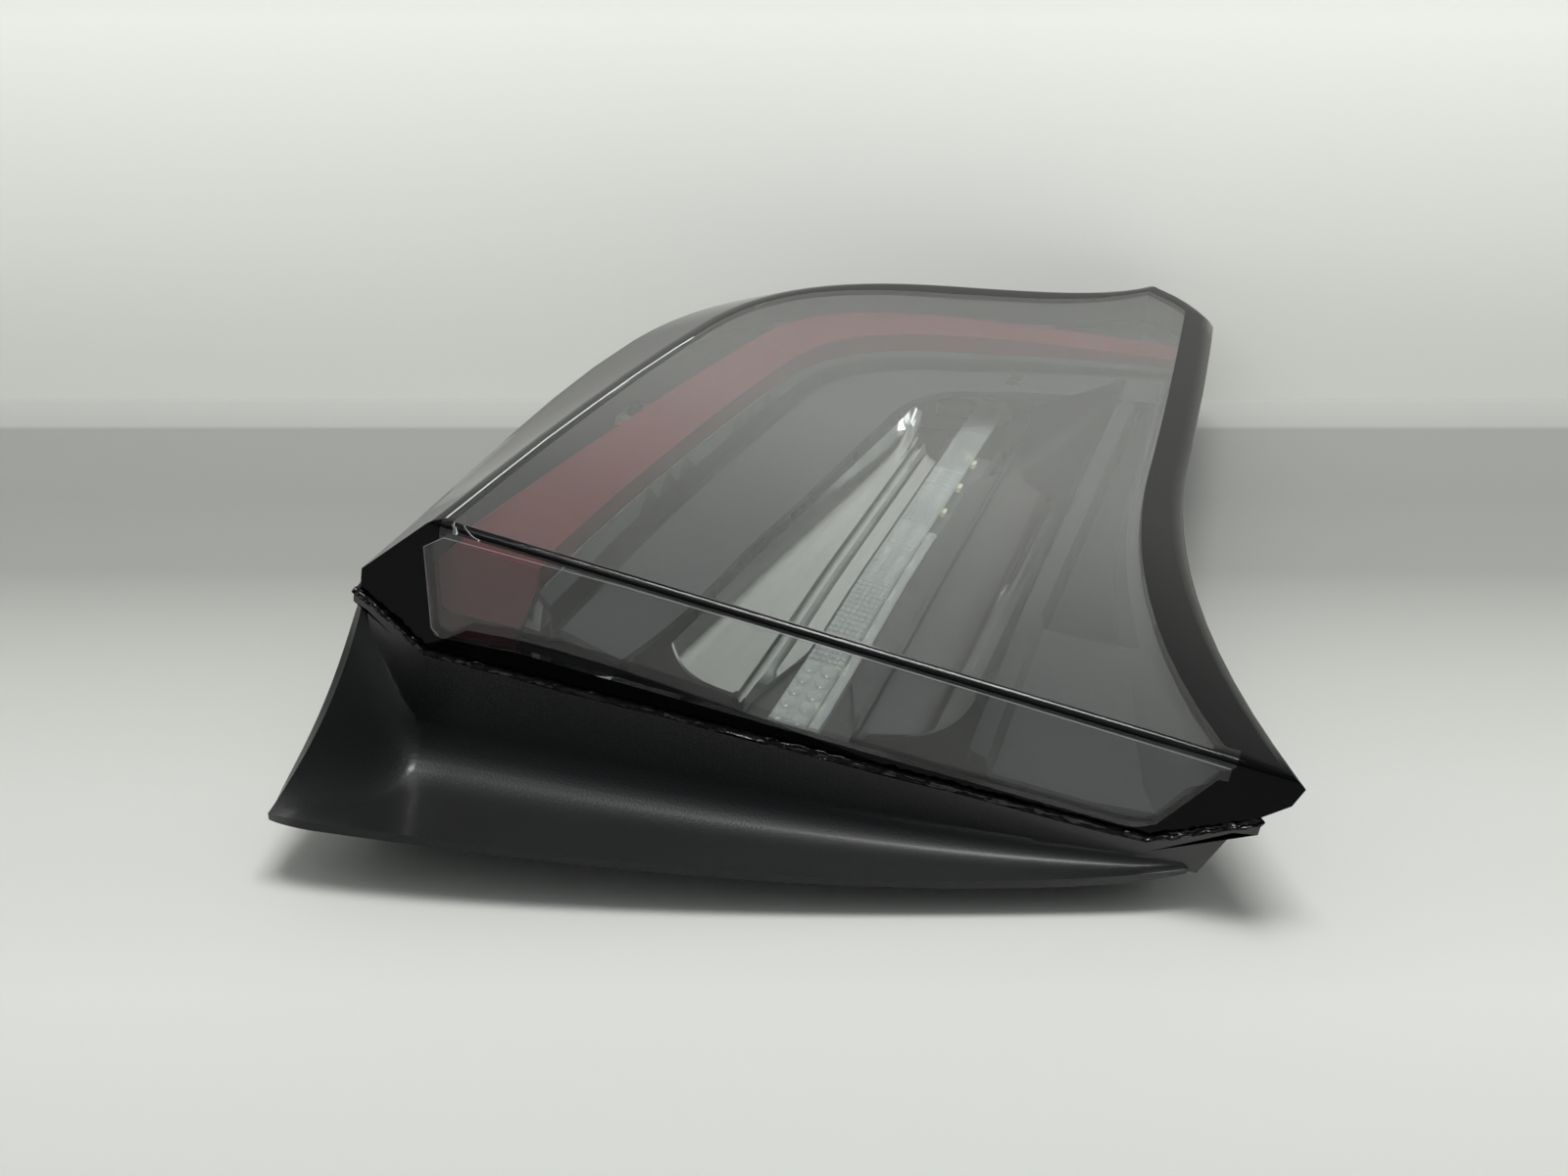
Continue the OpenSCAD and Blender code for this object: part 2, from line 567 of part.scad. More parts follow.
module inner_bezel() {
    color([0.28, 0.29, 0.29]) seated() difference() {
        union() {
            skin([for (s = trim_stations) slab(terrace(s))], sheet = true);
            skin([for (v = lower_vs) slab(lower_panel(v))], sheet = true);
        }
        translate([-4.6 * kx, 180 * ky, -30]) cube([3.6, 8, 40]);
    }
}

// Reflector troughs either side of the bar, each with a scooped far end and chrome fins beside the bar
trough_t = 1.4;
trough_rows = 16;
trough_cols = 9;
function scoop(f) = let (g = max(0, (f - 0.86) / 0.14)) 0.93 * (1 - sqrt(max(0, 1 - g * g)));
function fin_top(y) = max(9, 20 - max(0, y - front_y - 1) * 1.25);
upper_curve = [[-32, -13.6], [-30, -19], [-24.5, -20.6], [-20.2, -20.8]];
lower_curve = [[7.6, -19.4], [14, -17.6], [22, -16], [24.4, -6]];
// Length of each trough at one place across it, and how much it gains or loses across its width
upper_len = 142;
upper_skew = -0.58;
lower_len = 160;
lower_skew = 2;
function upper_y(f, x) = (front_y + f * (upper_len + upper_skew * (x + 22))) * ky;
function lower_y(f, x) = (front_y + f * (lower_len + lower_skew * (x - 14))) * ky;
function lifted(curve, share, drift) = [for (i = [0:trough_cols])
    let (p = bezier(curve, i / trough_cols), top = max(curve[0].y, curve[3].y) + 1)
    [p.x + drift * (curve[3].x - p.x), p.y + (top - p.y) * share]];
foot_u = bar_x * kx - holder_t - 2 * air;
foot_l = bar_x * kx + bar_w + holder_t + 2 * air;
module upper_reflector() {
    color([0.75, 0.76, 0.76]) seated() skin([for (k = [0:trough_rows])
        let (f = k / trough_rows, t = -fin_top(front_y + f * upper_len * ky))
        let (top = lifted(upper_curve, scoop(f), 0.8 * f))
        let (row = concat(
            [for (p = top) [p.x, p.y]],
            [[-19.3, t], [-18.6, t], [-18.2, -21.4], [-17.2, -21.4]],
            [[-16.6, t - 0.4], [-15.9, t - 0.4], [-15.4, -21.8], [foot_u / kx, -21.8]],
            [[foot_u / kx, -23], [-20.6, -23]],
            [for (i = [trough_cols:-1:0]) [top[i].x - 0.7, top[i].y - trough_t]]
        ))
        [for (p = row) [p.x * kx, upper_y(f, p.x), p.y]]]);
}
module lower_reflector() {
    color([0.55, 0.56, 0.57]) seated() skin([for (k = [0:trough_rows])
        let (f = k / trough_rows, t = -fin_top(front_y + f * lower_len * ky))
        let (top = lifted(lower_curve, scoop(f), 0))
        let (row = concat(
            [[foot_l / kx, -21.8], [foot_l / kx, -20.6], [4.9, -20.6], [5.4, t], [6.2, t], [6.6, -20.2]],
            [for (p = top) [p.x, p.y]],
            [for (i = [trough_cols:-1:0]) [top[i].x + 1, top[i].y - trough_t]]
        ))
        [for (p = row) [p.x * kx, lower_y(f, p.x), p.y]]]);
}

// Clear bar on edge, with its holder, its board and its lamps
module optic_bar() {
    color([0.75, 0.80, 0.80, 0.7]) seated() translate([bar_x * kx, (front_y + 1) * ky, -bar_z - bar_h])
        cube([bar_w, bar_l, bar_h]);
}
module bar_holder() {
    x0 = bar_x * kx - air;
    y0 = (front_y + 1) * ky;
    y1 = y0 + bar_l + 1.8;
    rim = -bar_z - 4;
    foot = -holder_depth;
    color([0.10, 0.10, 0.11]) seated() difference() {
        translate([x0 + bar_w + 2 * air + holder_t, 0, 0]) rotate([0, -90, 0])
            linear_extrude(bar_w + 2 * air + 2 * holder_t)
            polygon([[foot, y0], [foot, y1], [rim, y1], [rim, y0 + 16], [-bar_z - bar_h, y0]]);
        translate([x0, y0 - 1, foot + holder_t]) cube([bar_w + 2 * air, bar_l + 1 + air, 60]);
    }
}
module bar_circuit_board() {
    color([0.85, 0.86, 0.84]) seated()
        translate([bar_x * kx + 0.5, (front_y + 4) * ky, -holder_depth + holder_t])
            cube([bar_w - 1, bar_l - 6, board_t]);
}
module bar_leds() {
    pitch = (bar_l - 20) / (bar_led_count - 1);
    color([0.95, 0.90, 0.55]) seated() for (i = [0:bar_led_count - 1])
        translate([bar_x * kx + bar_w / 2 - 1.5, (front_y + 10) * ky + i * pitch, -holder_depth + holder_t + board_t])
            cube([3, 3, 1.2]);
}

// Driver board on its posts, with its chips and a heat sink
module driver_board() {
    color([0.05, 0.25, 0.12]) difference() {
        translate(board_at) cube(board_size);
        for (p = board_posts) translate([p.x, p.y, board_at.z - 1]) cylinder(r = 1.4, h = 4);
    }
}
module driver_chips() {
    color([0.08, 0.08, 0.09]) for (i = [0:2])
        translate([board_at.x + 8, board_at.y + 10 + 12 * i * ky, board_at.z + board_t]) cube([9, 7, 1.8]);
}
module driver_heat_sink() {
    fins = 5;
    color([0.70, 0.72, 0.74]) translate([board_at.x + board_size.x / 2, board_at.y + 14, board_at.z + board_t]) {
        cube([13, 24, 1.6]);
        for (i = [0:fins - 1]) translate([i * 3, 0, 1.5]) cube([1, 24, 5]);
    }
}
module screw(head_r, head_h, shank_r, shank_l) {
    difference() {
        cylinder(r = head_r, h = head_h);
        translate([0, 0, head_h - 1.1]) cylinder(r = head_r * 0.45, h = 2, $fn = 6);
    }
    translate([0, 0, -shank_l]) cylinder(r = shank_r, h = shank_l + 0.1);
}
module board_screws() {
    color([0.65, 0.65, 0.62]) for (p = board_posts)
        translate([p.x, p.y, board_at.z + board_t]) screw(2.4, 1.8, 1.05, 5);
}
module carrier_screws() {
    color([0.65, 0.65, 0.62]) seated() for (p = carrier_posts)
        translate([p.x, p.y, -carrier_z + 0.4]) screw(2.8, 2.2, 1.2, 8);
}

// Plug socket through the back, open downwards
module connector_socket() {
    w = plug_w + 2 * plug_wall;
    h = plug_h + 2 * plug_wall;
    color([0.12, 0.12, 0.13]) translate([plug_at.x, plug_at.y, back_z - 2]) difference() {
        union() {
            translate([-w / 2, -h / 2, 0]) cube([w, h, plug_d + plug_wall]);
            translate([-w / 2 - 2.5, -h / 2 - 2.5, 2 + wall_t]) cube([w + 5, h + 5, 1.8]);
        }
        translate([-plug_w / 2, -plug_h / 2, -1]) cube([plug_w, plug_h, plug_d + 1]);
        translate([-2.5, -plug_h / 2 - 1, -1]) cube([5, 1.1, 8]);
        for (i = [0:contacts - 1]) translate([(i - (contacts - 1) / 2) * 3.6 - 0.5, -0.9, plug_d - 1])
            cube([1, 1.8, 5]);
    }
}
module connector_pins() {
    color([0.80, 0.66, 0.30]) for (i = [0:contacts - 1])
        translate([plug_at.x + (i - (contacts - 1) / 2) * 3.6 - 0.4, plug_at.y - 0.8, back_z - 2 + plug_d - 8])
            cube([0.8, 1.6, 12]);
}

// Studs, their seals, the gasket and the breather on the back
module stud(s) {
    flange_h = 2.4;
    color([0.62, 0.62, 0.60]) translate([s.x, s.y, 0]) {
        cylinder(r1 = stud_r - 0.8, r2 = stud_r, h = 1);
        translate([0, 0, 1]) cylinder(r = stud_r, h = s.z + wall_t - 1 + 0.5);
        translate([0, 0, s.z - flange_h]) cylinder(r = stud_r + 3, h = flange_h - 0.05);
        translate([0, 0, s.z + wall_t + 0.05]) cylinder(r = stud_r + 2.4, h = 2);
    }
}
module stud_upper() {
    stud(upper_stud);
}
module stud_lower() {
    stud(lower_stud);
}
module stud_far() {
    stud(far_stud);
}
module stud_seals() {
    seal_h = 3;
    color([0.15, 0.15, 0.15]) for (s = studs) translate([s.x, s.y, s.z - seal_h]) difference() {
        cylinder(r = stud_r + 6.5, h = seal_h - 0.05);
        translate([0, 0, -1]) cylinder(r = stud_r + 3.2, h = seal_h + 2);
    }
}
module body_gasket() {
    color([0.20, 0.20, 0.20]) translate([0, 0, back_z - gasket_t]) linear_extrude(gasket_t) difference() {
        offset(delta = -4) polygon(back_ring(0));
        offset(delta = -10) polygon(back_ring(0));
    }
}
module breather_cap() {
    color([0.10, 0.10, 0.11]) translate([breather_at.x, breather_at.y, back_z]) {
        translate([0, 0, -2.5]) cylinder(r = 8, h = 2.45);
        translate([0, 0, -1]) cylinder(r = 4, h = 5);
    }
}

housing();
lens_border();
outer_lens();
weld_bead();
inner_bezel();
tail_light_guide();
tail_guide_carrier();
tail_circuit_board();
tail_leds();
upper_reflector();
lower_reflector();
optic_bar();
bar_holder();
bar_circuit_board();
bar_leds();
driver_board();
driver_chips();
driver_heat_sink();
board_screws();
carrier_screws();
connector_socket();
connector_pins();
stud_upper();
stud_lower();
stud_far();
stud_seals();
body_gasket();
breather_cap();
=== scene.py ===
import bmesh
import math
import bpy
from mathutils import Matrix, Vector, noise


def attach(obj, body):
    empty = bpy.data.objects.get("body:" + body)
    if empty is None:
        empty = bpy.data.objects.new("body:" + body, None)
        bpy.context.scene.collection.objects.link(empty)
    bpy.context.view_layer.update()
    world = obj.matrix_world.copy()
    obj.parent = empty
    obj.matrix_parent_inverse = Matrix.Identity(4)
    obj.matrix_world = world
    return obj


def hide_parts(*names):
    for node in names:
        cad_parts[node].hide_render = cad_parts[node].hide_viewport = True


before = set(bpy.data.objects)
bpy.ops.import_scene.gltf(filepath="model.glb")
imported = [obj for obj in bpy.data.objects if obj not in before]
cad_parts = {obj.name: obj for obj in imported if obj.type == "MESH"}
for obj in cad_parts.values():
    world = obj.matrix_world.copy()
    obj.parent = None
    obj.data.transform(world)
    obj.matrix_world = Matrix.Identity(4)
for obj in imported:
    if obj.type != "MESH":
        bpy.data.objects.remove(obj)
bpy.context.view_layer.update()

# Camera of the photograph: held low over the split end, a little to the lower side, looking down the lamp.
# Its place and angles were fitted to the lamp's edges in the photograph.
camera_place = (0.08142, -0.28698, 0.19009)
camera_turn = math.radians(17.5377)
camera_pitch = math.radians(24.5280)
level_view = math.radians(90)
camera_data = bpy.data.cameras.new("photo_camera")
camera_data.sensor_width = 36
camera_data.lens = 42.75
camera = bpy.data.objects.new("photo_camera", camera_data)
bpy.context.collection.objects.link(camera)
camera.location = camera_place
camera.rotation_euler = (level_view - camera_pitch, 0, camera_turn)
bpy.context.scene.camera = camera
bpy.context.scene.view_settings.view_transform = "Standard"

# Table and wall: a sheet of matt white card in front of a pale painted wall. Both are stage, not lamp.
# Painted shade greys the card towards the wall, and it ends in a paler strip; the wall's tones are painted
# light and shade, darkening with height above the picture.
def linear(code):
    """An sRGB hex colour as linear light."""
    parts = [int(code[i:i + 2], 16) / 255 for i in (1, 3, 5)]
    return tuple(c / 12.92 if c <= 0.04045 else ((c + 0.055) / 1.055) ** 2.4 for c in parts) + (1,)

def add(tree, kind, settings=None, **links):
    """One shader or geometry node, with its settings and the sockets or values that feed it."""
    made = tree.nodes.new(kind)
    for name, value in (settings or {}).items():
        setattr(made, name, value)
    for name, source in links.items():
        by_number = name.startswith("in") and name[2:].isdigit()
        target = made.inputs[int(name[2:])] if by_number else made.inputs[name.replace("_", " ")]
        if isinstance(source, bpy.types.NodeSocket):
            tree.links.new(source, target)
        else:
            target.default_value = source
    return made

def material(name):
    """An empty node material, with its tree and the output node."""
    made = bpy.data.materials.new(name)
    made.use_nodes = True
    made.node_tree.nodes.clear()
    return made, made.node_tree, made.node_tree.nodes.new("ShaderNodeOutputMaterial")

def surface(tree, output, shader):
    """Feeds a shader to the output of its material."""
    tree.links.new(shader.outputs[0], output.inputs["Surface"])

def ramp(tree, factor, tones):
    """A colour ramp with its tones as (place, hex colour)."""
    made = add(tree, "ShaderNodeValToRGB", in0=factor)
    points = made.color_ramp.elements
    while len(points) < len(tones):
        points.new(0.5)
    for point, (place, code) in zip(points, tones):
        point.position = place
        point.color = linear(code)
    return made.outputs["Color"]

def sheet_object(name, corners, look):
    """A flat sheet of the stage."""
    mesh = bpy.data.meshes.new(name)
    mesh.from_pydata(corners, [], [range(len(corners))])
    mesh.materials.append(look)
    made = bpy.data.objects.new(name, mesh)
    bpy.context.collection.objects.link(made)

across = Vector((math.cos(camera_turn), math.sin(camera_turn), 0))
ahead = Vector((-math.sin(camera_turn), math.cos(camera_turn), 0))
under_camera = Vector((camera_place[0], camera_place[1], 0))
floor_start = -0.5
tones_start = 0.2
wall_foot = 0.56
stage_half = 1.6
wall_top = 1.3
near = under_camera + ahead * floor_start
far = under_camera + ahead * wall_foot
side = across * stage_half

# Matt card scatters nearly all the light, so it shows a soft shadow and no mirror image.
# Painted shade: the card's tones darken towards the wall, where less light falls; the last stops are a paler
# strip at its far end.
card_painted_shade = [
    (0, "#ECEDE8"), (0.148, "#F4F5F0"), (0.334, "#E2E3DE"), (0.464, "#C8C9C4"), (0.631, "#989995"),
    (0.77, "#8E8F8C"), (0.924, "#8E8F8C"), (0.93, "#A2A3A0"), (1, "#ACADA9"),
]
card, tree, output = material("matt white card")
place = add(tree, "ShaderNodeTexCoord").outputs["Object"]
distance = add(tree, "ShaderNodeVectorMath", {"operation": "DOT_PRODUCT"}, in0=place, in1=tuple(ahead))
camera_distance = under_camera.dot(ahead)
share = add(
    tree, "ShaderNodeMapRange", Value=distance.outputs["Value"],
    From_Min=camera_distance + tones_start, From_Max=camera_distance + wall_foot,
)
shade = ramp(tree, share.outputs[0], card_painted_shade)
shader = add(tree, "ShaderNodeBsdfPrincipled", Base_Color=shade, Roughness=0.75, Specular_IOR_Level=0.25)
surface(tree, output, shader)
sheet_object("card_floor", [near - side, near + side, far + side, far - side], card)

# Wall paint is duller still. The lens mirrors this wall: a pale veil over all that is inside the lamp.
# Painted light and shade: the wall's tones rise from its foot to a pale band, then darken with height above
# the picture.
wall_painted_light_and_shade = [(0, "#D2D3CE"), (0.15, "#DFE0DB"), (0.3, "#E3E4DF"), (0.42, "#B4B5B1"), (0.65, "#70716F")]
tones_foot, tones_top = -0.01, 0.41
paint, tree, output = material("pale wall paint")
place = add(tree, "ShaderNodeTexCoord").outputs["Object"]
height = add(tree, "ShaderNodeSeparateXYZ", in0=place)
share = add(tree, "ShaderNodeMapRange", Value=height.outputs["Z"], From_Min=tones_foot, From_Max=tones_top)
shade = ramp(tree, share.outputs[0], wall_painted_light_and_shade)
shader = add(tree, "ShaderNodeBsdfPrincipled", Base_Color=shade, Roughness=0.9, Specular_IOR_Level=0.1)
surface(tree, output, shader)
up = Vector((0, 0, wall_top))
sheet_object("wall", [far - side, far + side, far + side + up, far - side + up], paint)

# Studio light: one soft box overhead, a second one that washes the wall, and a room whose pale ceiling is lit
# and whose walls are dim.
room_tones = [(0, "#4A4D50"), (0.3, "#63676A"), (0.75, "#B9BDBE"), (1, "#D4D7D6")]
room_strength = 0.6
world = bpy.data.worlds.new("room")
world.use_nodes = True
tree = world.node_tree
direction = add(tree, "ShaderNodeTexCoord").outputs["Generated"]
height = add(tree, "ShaderNodeSeparateXYZ", in0=direction)
share = add(tree, "ShaderNodeMapRange", Value=height.outputs["Z"], From_Min=0, From_Max=1)
shade = ramp(tree, share.outputs[0], room_tones)
tree.links.new(shade, tree.nodes["Background"].inputs["Color"])
tree.nodes["Background"].inputs["Strength"].default_value = room_strength
bpy.context.scene.world = world

def soft_box(name, place, aim, size, watts, spread=180):
    """A rectangular area lamp; a smaller spread stands for the honeycomb grid in front of its cloth."""
    lamp = bpy.data.lights.new(name, "AREA")
    lamp.spread = math.radians(spread)
    lamp.shape = "RECTANGLE"
    lamp.size, lamp.size_y = size
    lamp.energy = watts
    made = bpy.data.objects.new(name, lamp)
    bpy.context.collection.objects.link(made)
    made.location = place
    made.rotation_euler = (Vector(aim) - Vector(place)).to_track_quat("-Z", "Y").to_euler()

soft_box("overhead_box", place=(0.05, 0.02, 1.0), aim=(0, 0.08, 0), size=(0.5, 0.34), watts=5.8)
wash_ahead, wash_rise, wash_aim_rise = 0.2, 0.42, 0.36
wash_place = under_camera + ahead * wash_ahead + Vector((0, 0, wash_rise))
wash_aim = under_camera + ahead * wall_foot + Vector((0, 0, wash_aim_rise))
soft_box("wall_wash", place=wash_place, aim=wash_aim, size=(1.4, 0.25), watts=3.6, spread=130)

# Housing: the black back shell of the lamp, with the shelf that juts out at the foot of the split end.
# Injection moulded ABS in one piece; the lens is welded onto its rim.
def placed(made, node, angle):
    """Merges a mesh, smooths it but for its hard edges, and has it stand for a CAD node."""
    merge_distance = 0.000004
    for other in bpy.context.selected_objects:
        other.select_set(False)
    bpy.context.view_layer.objects.active = made
    made.select_set(True)
    bpy.ops.object.mode_set(mode="EDIT")
    bpy.ops.mesh.select_all(action="SELECT")
    bpy.ops.mesh.remove_doubles(threshold=merge_distance)
    bpy.ops.mesh.normals_make_consistent(inside=False)
    bpy.ops.mesh.customdata_custom_splitnormals_clear()
    bpy.ops.object.mode_set(mode="OBJECT")
    bpy.ops.object.shade_smooth_by_angle(angle=math.radians(angle))
    level = made.modifiers.new("level", "WEIGHTED_NORMAL")
    level.weight = 80
    level.keep_sharp = True
    bpy.ops.object.modifier_apply(modifier=level.name)
    made.select_set(False)
    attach(made, "root")
    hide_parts(node)
    return made

def rounded_copy(node, angle=32):
    """A copy of a CAD node's mesh, smoothed; edges turned by more than the angle, in degrees, stay hard."""
    made = bpy.data.objects.new(node + "_shell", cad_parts[node].data.copy())
    bpy.context.collection.objects.link(made)
    return placed(made, node, angle)

def finish(piece, look):
    """Gives a whole piece one material."""
    piece.data.materials.clear()
    piece.data.materials.append(look)

def moulded(name, colour, lighter, roughness, grain_mm, grain_depth, **more):
    """A moulded plastic: its colour wanders to a lighter one, and its mould's grain is a fine bump."""
    clouds_per_metre, sheen_spread = 45, 0.08
    grain_height = 0.0001
    made, tree, output = material(name)
    place = add(tree, "ShaderNodeTexCoord").outputs["Object"]
    clouds = add(tree, "ShaderNodeTexNoise", Vector=place, Scale=clouds_per_metre, Detail=3).outputs["Fac"]
    tone = ramp(tree, clouds, [(0.3, colour), (0.7, lighter)])
    dull, bright = roughness * (1 + sheen_spread), roughness * (1 - sheen_spread)
    sheen = add(tree, "ShaderNodeMapRange", Value=clouds, To_Min=bright, To_Max=dull)
    grain = add(tree, "ShaderNodeTexNoise", Vector=place, Scale=1000 / grain_mm, Detail=2).outputs["Fac"]
    bump = add(tree, "ShaderNodeBump", Height=grain, Distance=grain_height, Strength=grain_depth)
    shader = add(
        tree, "ShaderNodeBsdfPrincipled",
        Base_Color=tone, Roughness=sheen.outputs[0], Normal=bump.outputs[0], **more,
    )
    surface(tree, output, shader)
    return made

# The eroded mould leaves a fine grain: satin, with a soft bright band along the fold of the shelf.
abs_black = moulded(
    "ABS, black, fine eroded grain", "#101112", "#131415", roughness=0.5, grain_mm=0.45, grain_depth=0.8,
    Specular_IOR_Level=0.65, Coat_Weight=0.7, Coat_Roughness=0.24,
)
housing = rounded_copy("housing")
finish(housing, abs_black)

# Black border of the lens: a second shot of black acrylic, moulded round the clear window and fused to it.
# It hides the weld, and wraps round the lamp's sides down to the housing.
lens_smooth = 50
lens_border = rounded_copy("lens_border", lens_smooth)

# Polished by the mould, so it mirrors the room more and more towards its silhouette.
acrylic_black = moulded(
    "acrylic, black, mould polished", "#050607", "#060708", roughness=0.05, grain_mm=3.0, grain_depth=0.02,
    IOR=1.49, Specular_IOR_Level=0.1,
)
finish(lens_border, acrylic_black)

# Its inner faces are etched: dull and dark, so that they don't show through the window.
acrylic_inside = moulded(
    "acrylic, black, etched inside", "#060708", "#090A0B", roughness=0.6, grain_mm=0.4, grain_depth=0.3,
    IOR=1.49, Specular_IOR_Level=0.1,
)
lens_border.data.materials.append(acrylic_inside)
axis_x, end_wall_depth, far_end_start = -0.02, 0.01, 0.15
inward, upward = 0.2, 0.5
for face in lens_border.data.polygons:
    towards = 1 if face.center.x < axis_x else -1
    back = -face.normal.y if face.center.y > far_end_start else 0
    turned_in = max(face.normal.x * towards, back, -face.normal.z) > inward
    if face.center.y > end_wall_depth and turned_in and face.normal.z < upward:
        face.material_index = 1

# Outer lens: the clear window over the lamp, one wall of moulded acrylic.
# It is the first shot of the moulding whose second shot is the black border.
outer_lens = rounded_copy("outer_lens", lens_smooth)

# A polished, very lightly smoked skin: what is inside shows through it, under the room's mirror image.
acrylic_clear, tree, output = material("acrylic, clear, lightly smoked")
smoke = linear("#EEF0EF")
glass = add(
    tree, "ShaderNodeBsdfPrincipled",
    Base_Color=smoke, Roughness=0.0, IOR=1.49, Transmission_Weight=1.0,
)
through = add(tree, "ShaderNodeBsdfTransparent", Color=linear("#F3F4F3"))
path = add(tree, "ShaderNodeLightPath").outputs["Is Shadow Ray"]
mixed = add(tree, "ShaderNodeMixShader", in0=path, in1=glass.outputs[0], in2=through.outputs[0])
surface(tree, output, mixed)
finish(outer_lens, acrylic_clear)

# Weld bead: black plastic that the hot plate squeezed out between the lens and the housing.
# It is left as it set, so it is lumpy. The lumps are pushed out of the CAD bead's finely divided mesh.
weld_bead = rounded_copy("weld_bead", 60)
lump_mm, lump_height = 1.1, 0.00045
fine_ratio, fine_share = 2.2, 0.5
bead_step, bead_rounds = 0.0009, 6
shape = bmesh.new()
shape.from_mesh(weld_bead.data)
for _ in range(bead_rounds):
    long_edges = [edge for edge in shape.edges if edge.calc_length() > bead_step]
    bmesh.ops.subdivide_edges(shape, edges=long_edges, cuts=1, use_grid_fill=True)
shape.normal_update()
coarse, fine = 1000 / lump_mm, 1000 * fine_ratio / lump_mm
for vertex in shape.verts:
    lumps = noise.noise(vertex.co * coarse) + fine_share * noise.noise(vertex.co * fine)
    vertex.co += vertex.normal * lump_height * lumps
shape.to_mesh(weld_bead.data)
shape.free()
weld_bead.data.shade_smooth()

# It set in air and touched no mould, so it is glossy and glints on its lumps.
bead_black = moulded(
    "ABS, black, melted flash", "#0A0A0B", "#101011", roughness=0.16, grain_mm=0.9, grain_depth=1.0,
)
finish(weld_bead, bead_black)

# Inner trim: the terraced frame round the optics, a strip and a panel with a recess between them.
# One moulding of grey polycarbonate, fixed down under the lens; its recess is painted black and its sunk
# panel dark grey, as painted shade.
inner_bezel = rounded_copy("inner_bezel")

# All three finishes are satin and nearly without gloss: only the veil in the lens lightens them. The black
# and the dark grey are painted shade.
trim_grey = moulded(
    "polycarbonate, grey, satin", "#2C2E2F", "#303233", roughness=0.55, grain_mm=0.3, grain_depth=0.15,
    Specular_IOR_Level=0.02,
)
recess_painted_shade = moulded(
    "polycarbonate, painted recess shade, satin", "#070808", "#090A0A", roughness=0.55, grain_mm=0.3, grain_depth=0.15,
    Specular_IOR_Level=0.01,
)
panel_painted_shade = moulded(
    "polycarbonate, painted panel shade, satin", "#1C1D1E", "#202122", roughness=0.55, grain_mm=0.3, grain_depth=0.15,
    Specular_IOR_Level=0.02,
)
finish(inner_bezel, trim_grey)
inner_bezel.data.materials.append(recess_painted_shade)
inner_bezel.data.materials.append(panel_painted_shade)

lens_x, lens_rise, lens_tilt = 1.58, 43.8, math.radians(9.75)

def seat(x, y, z):
    """A place on the lens, in millimetres, as a point of the part."""
    across_lens = lens_x + x * math.cos(lens_tilt) + z * math.sin(lens_tilt)
    rise = lens_rise - x * math.sin(lens_tilt) + z * math.cos(lens_tilt)
    return Vector((across_lens, y, rise)) / 1000

def unseat(point):
    """The place on the lens, in millimetres, of a point of the part."""
    x, z = point.x * 1000 - lens_x, point.z * 1000 - lens_rise
    across_lens = x * math.cos(lens_tilt) - z * math.sin(lens_tilt)
    depth = x * math.sin(lens_tilt) + z * math.cos(lens_tilt)
    return Vector((across_lens, point.y * 1000, depth))

def bezier(points, t):
    """A point on a cubic curve."""
    weights = ((1 - t) ** 3, 3 * t * (1 - t) ** 2, 3 * t * t * (1 - t), t ** 3)
    return Vector([sum(w * p[axis] for w, p in zip(weights, points)) for axis in range(len(points[0]))])

# The recess runs between the edge of the strip and its own inner edge, along the lamp and round the shoulder.
strip_edge = [
    [(-57.5, 6), (-57, 55), (-55, 103), (-50.5, 146)],
    [(-50.5, 146), (-45, 180), (-16, 193), (36, 213)],
]
recess_edge = [
    [(-54.7, 6), (-53.5, 50), (-51.5, 98), (-46.5, 143)],
    [(-46.5, 143), (-41, 174), (-13, 186), (36, 207)],
]
recess_steps = 40
recess_reach = 1.1
recess_line = []
for strip_run, recess_run in zip(strip_edge, recess_edge):
    for i in range(recess_steps):
        outer = bezier(strip_run, i / recess_steps)
        inner = bezier(recess_run, i / recess_steps)
        recess_line.append(((outer + inner) / 2, (outer - inner).length / 2))

# The sunk panel of the lower side starts at this corner, and lies this deep.
sunk_left, sunk_near, sunk_depth = 27, 46, -12
# Painted shade: faces in the recess get the black, faces of the sunk panel the dark grey.
for face in inner_bezel.data.polygons:
    spot = unseat(face.center)
    middle, half = min(recess_line, key=lambda place: (place[0] - spot.xy).length)
    if (middle - spot.xy).length < half * recess_reach:
        face.material_index = 1
    elif spot.x > sunk_left and spot.y > sunk_near and spot.z < sunk_depth:
        face.material_index = 2

# Tail light guide: a thick bar of deep red acrylic along the upper side and round the shoulder.
# It carries the light of the chips under it, and is dark while it is unlit. It is moulded in one piece.
light_guide = rounded_copy("tail_light_guide")

# Polished red acrylic takes in most of the light, so it looks a dull wine red under the lens.
red_acrylic = moulded(
    "acrylic, deep red", "#431419", "#49151B", roughness=0.3, grain_mm=2.0, grain_depth=0.05,
    IOR=1.49, Specular_IOR_Level=0.015,
)
finish(light_guide, red_acrylic)

# The raised panel of the near end is painted paler than the polished bar round it, as a painted reflection,
# and is rougher.
red_painted_reflection = moulded(
    "acrylic, deep red, etched", "#633036", "#673338", roughness=0.5, grain_mm=0.2, grain_depth=0.2,
    IOR=1.49, Specular_IOR_Level=0.15,
)
light_guide.data.materials.append(red_painted_reflection)
# Faces of the near end's panel get the painted reflection.
panel_depth = 0.0004
near_end = min(v.co.y for v in light_guide.data.vertices)
for face in light_guide.data.polygons:
    if face.center.y < near_end + panel_depth:
        face.material_index = 1

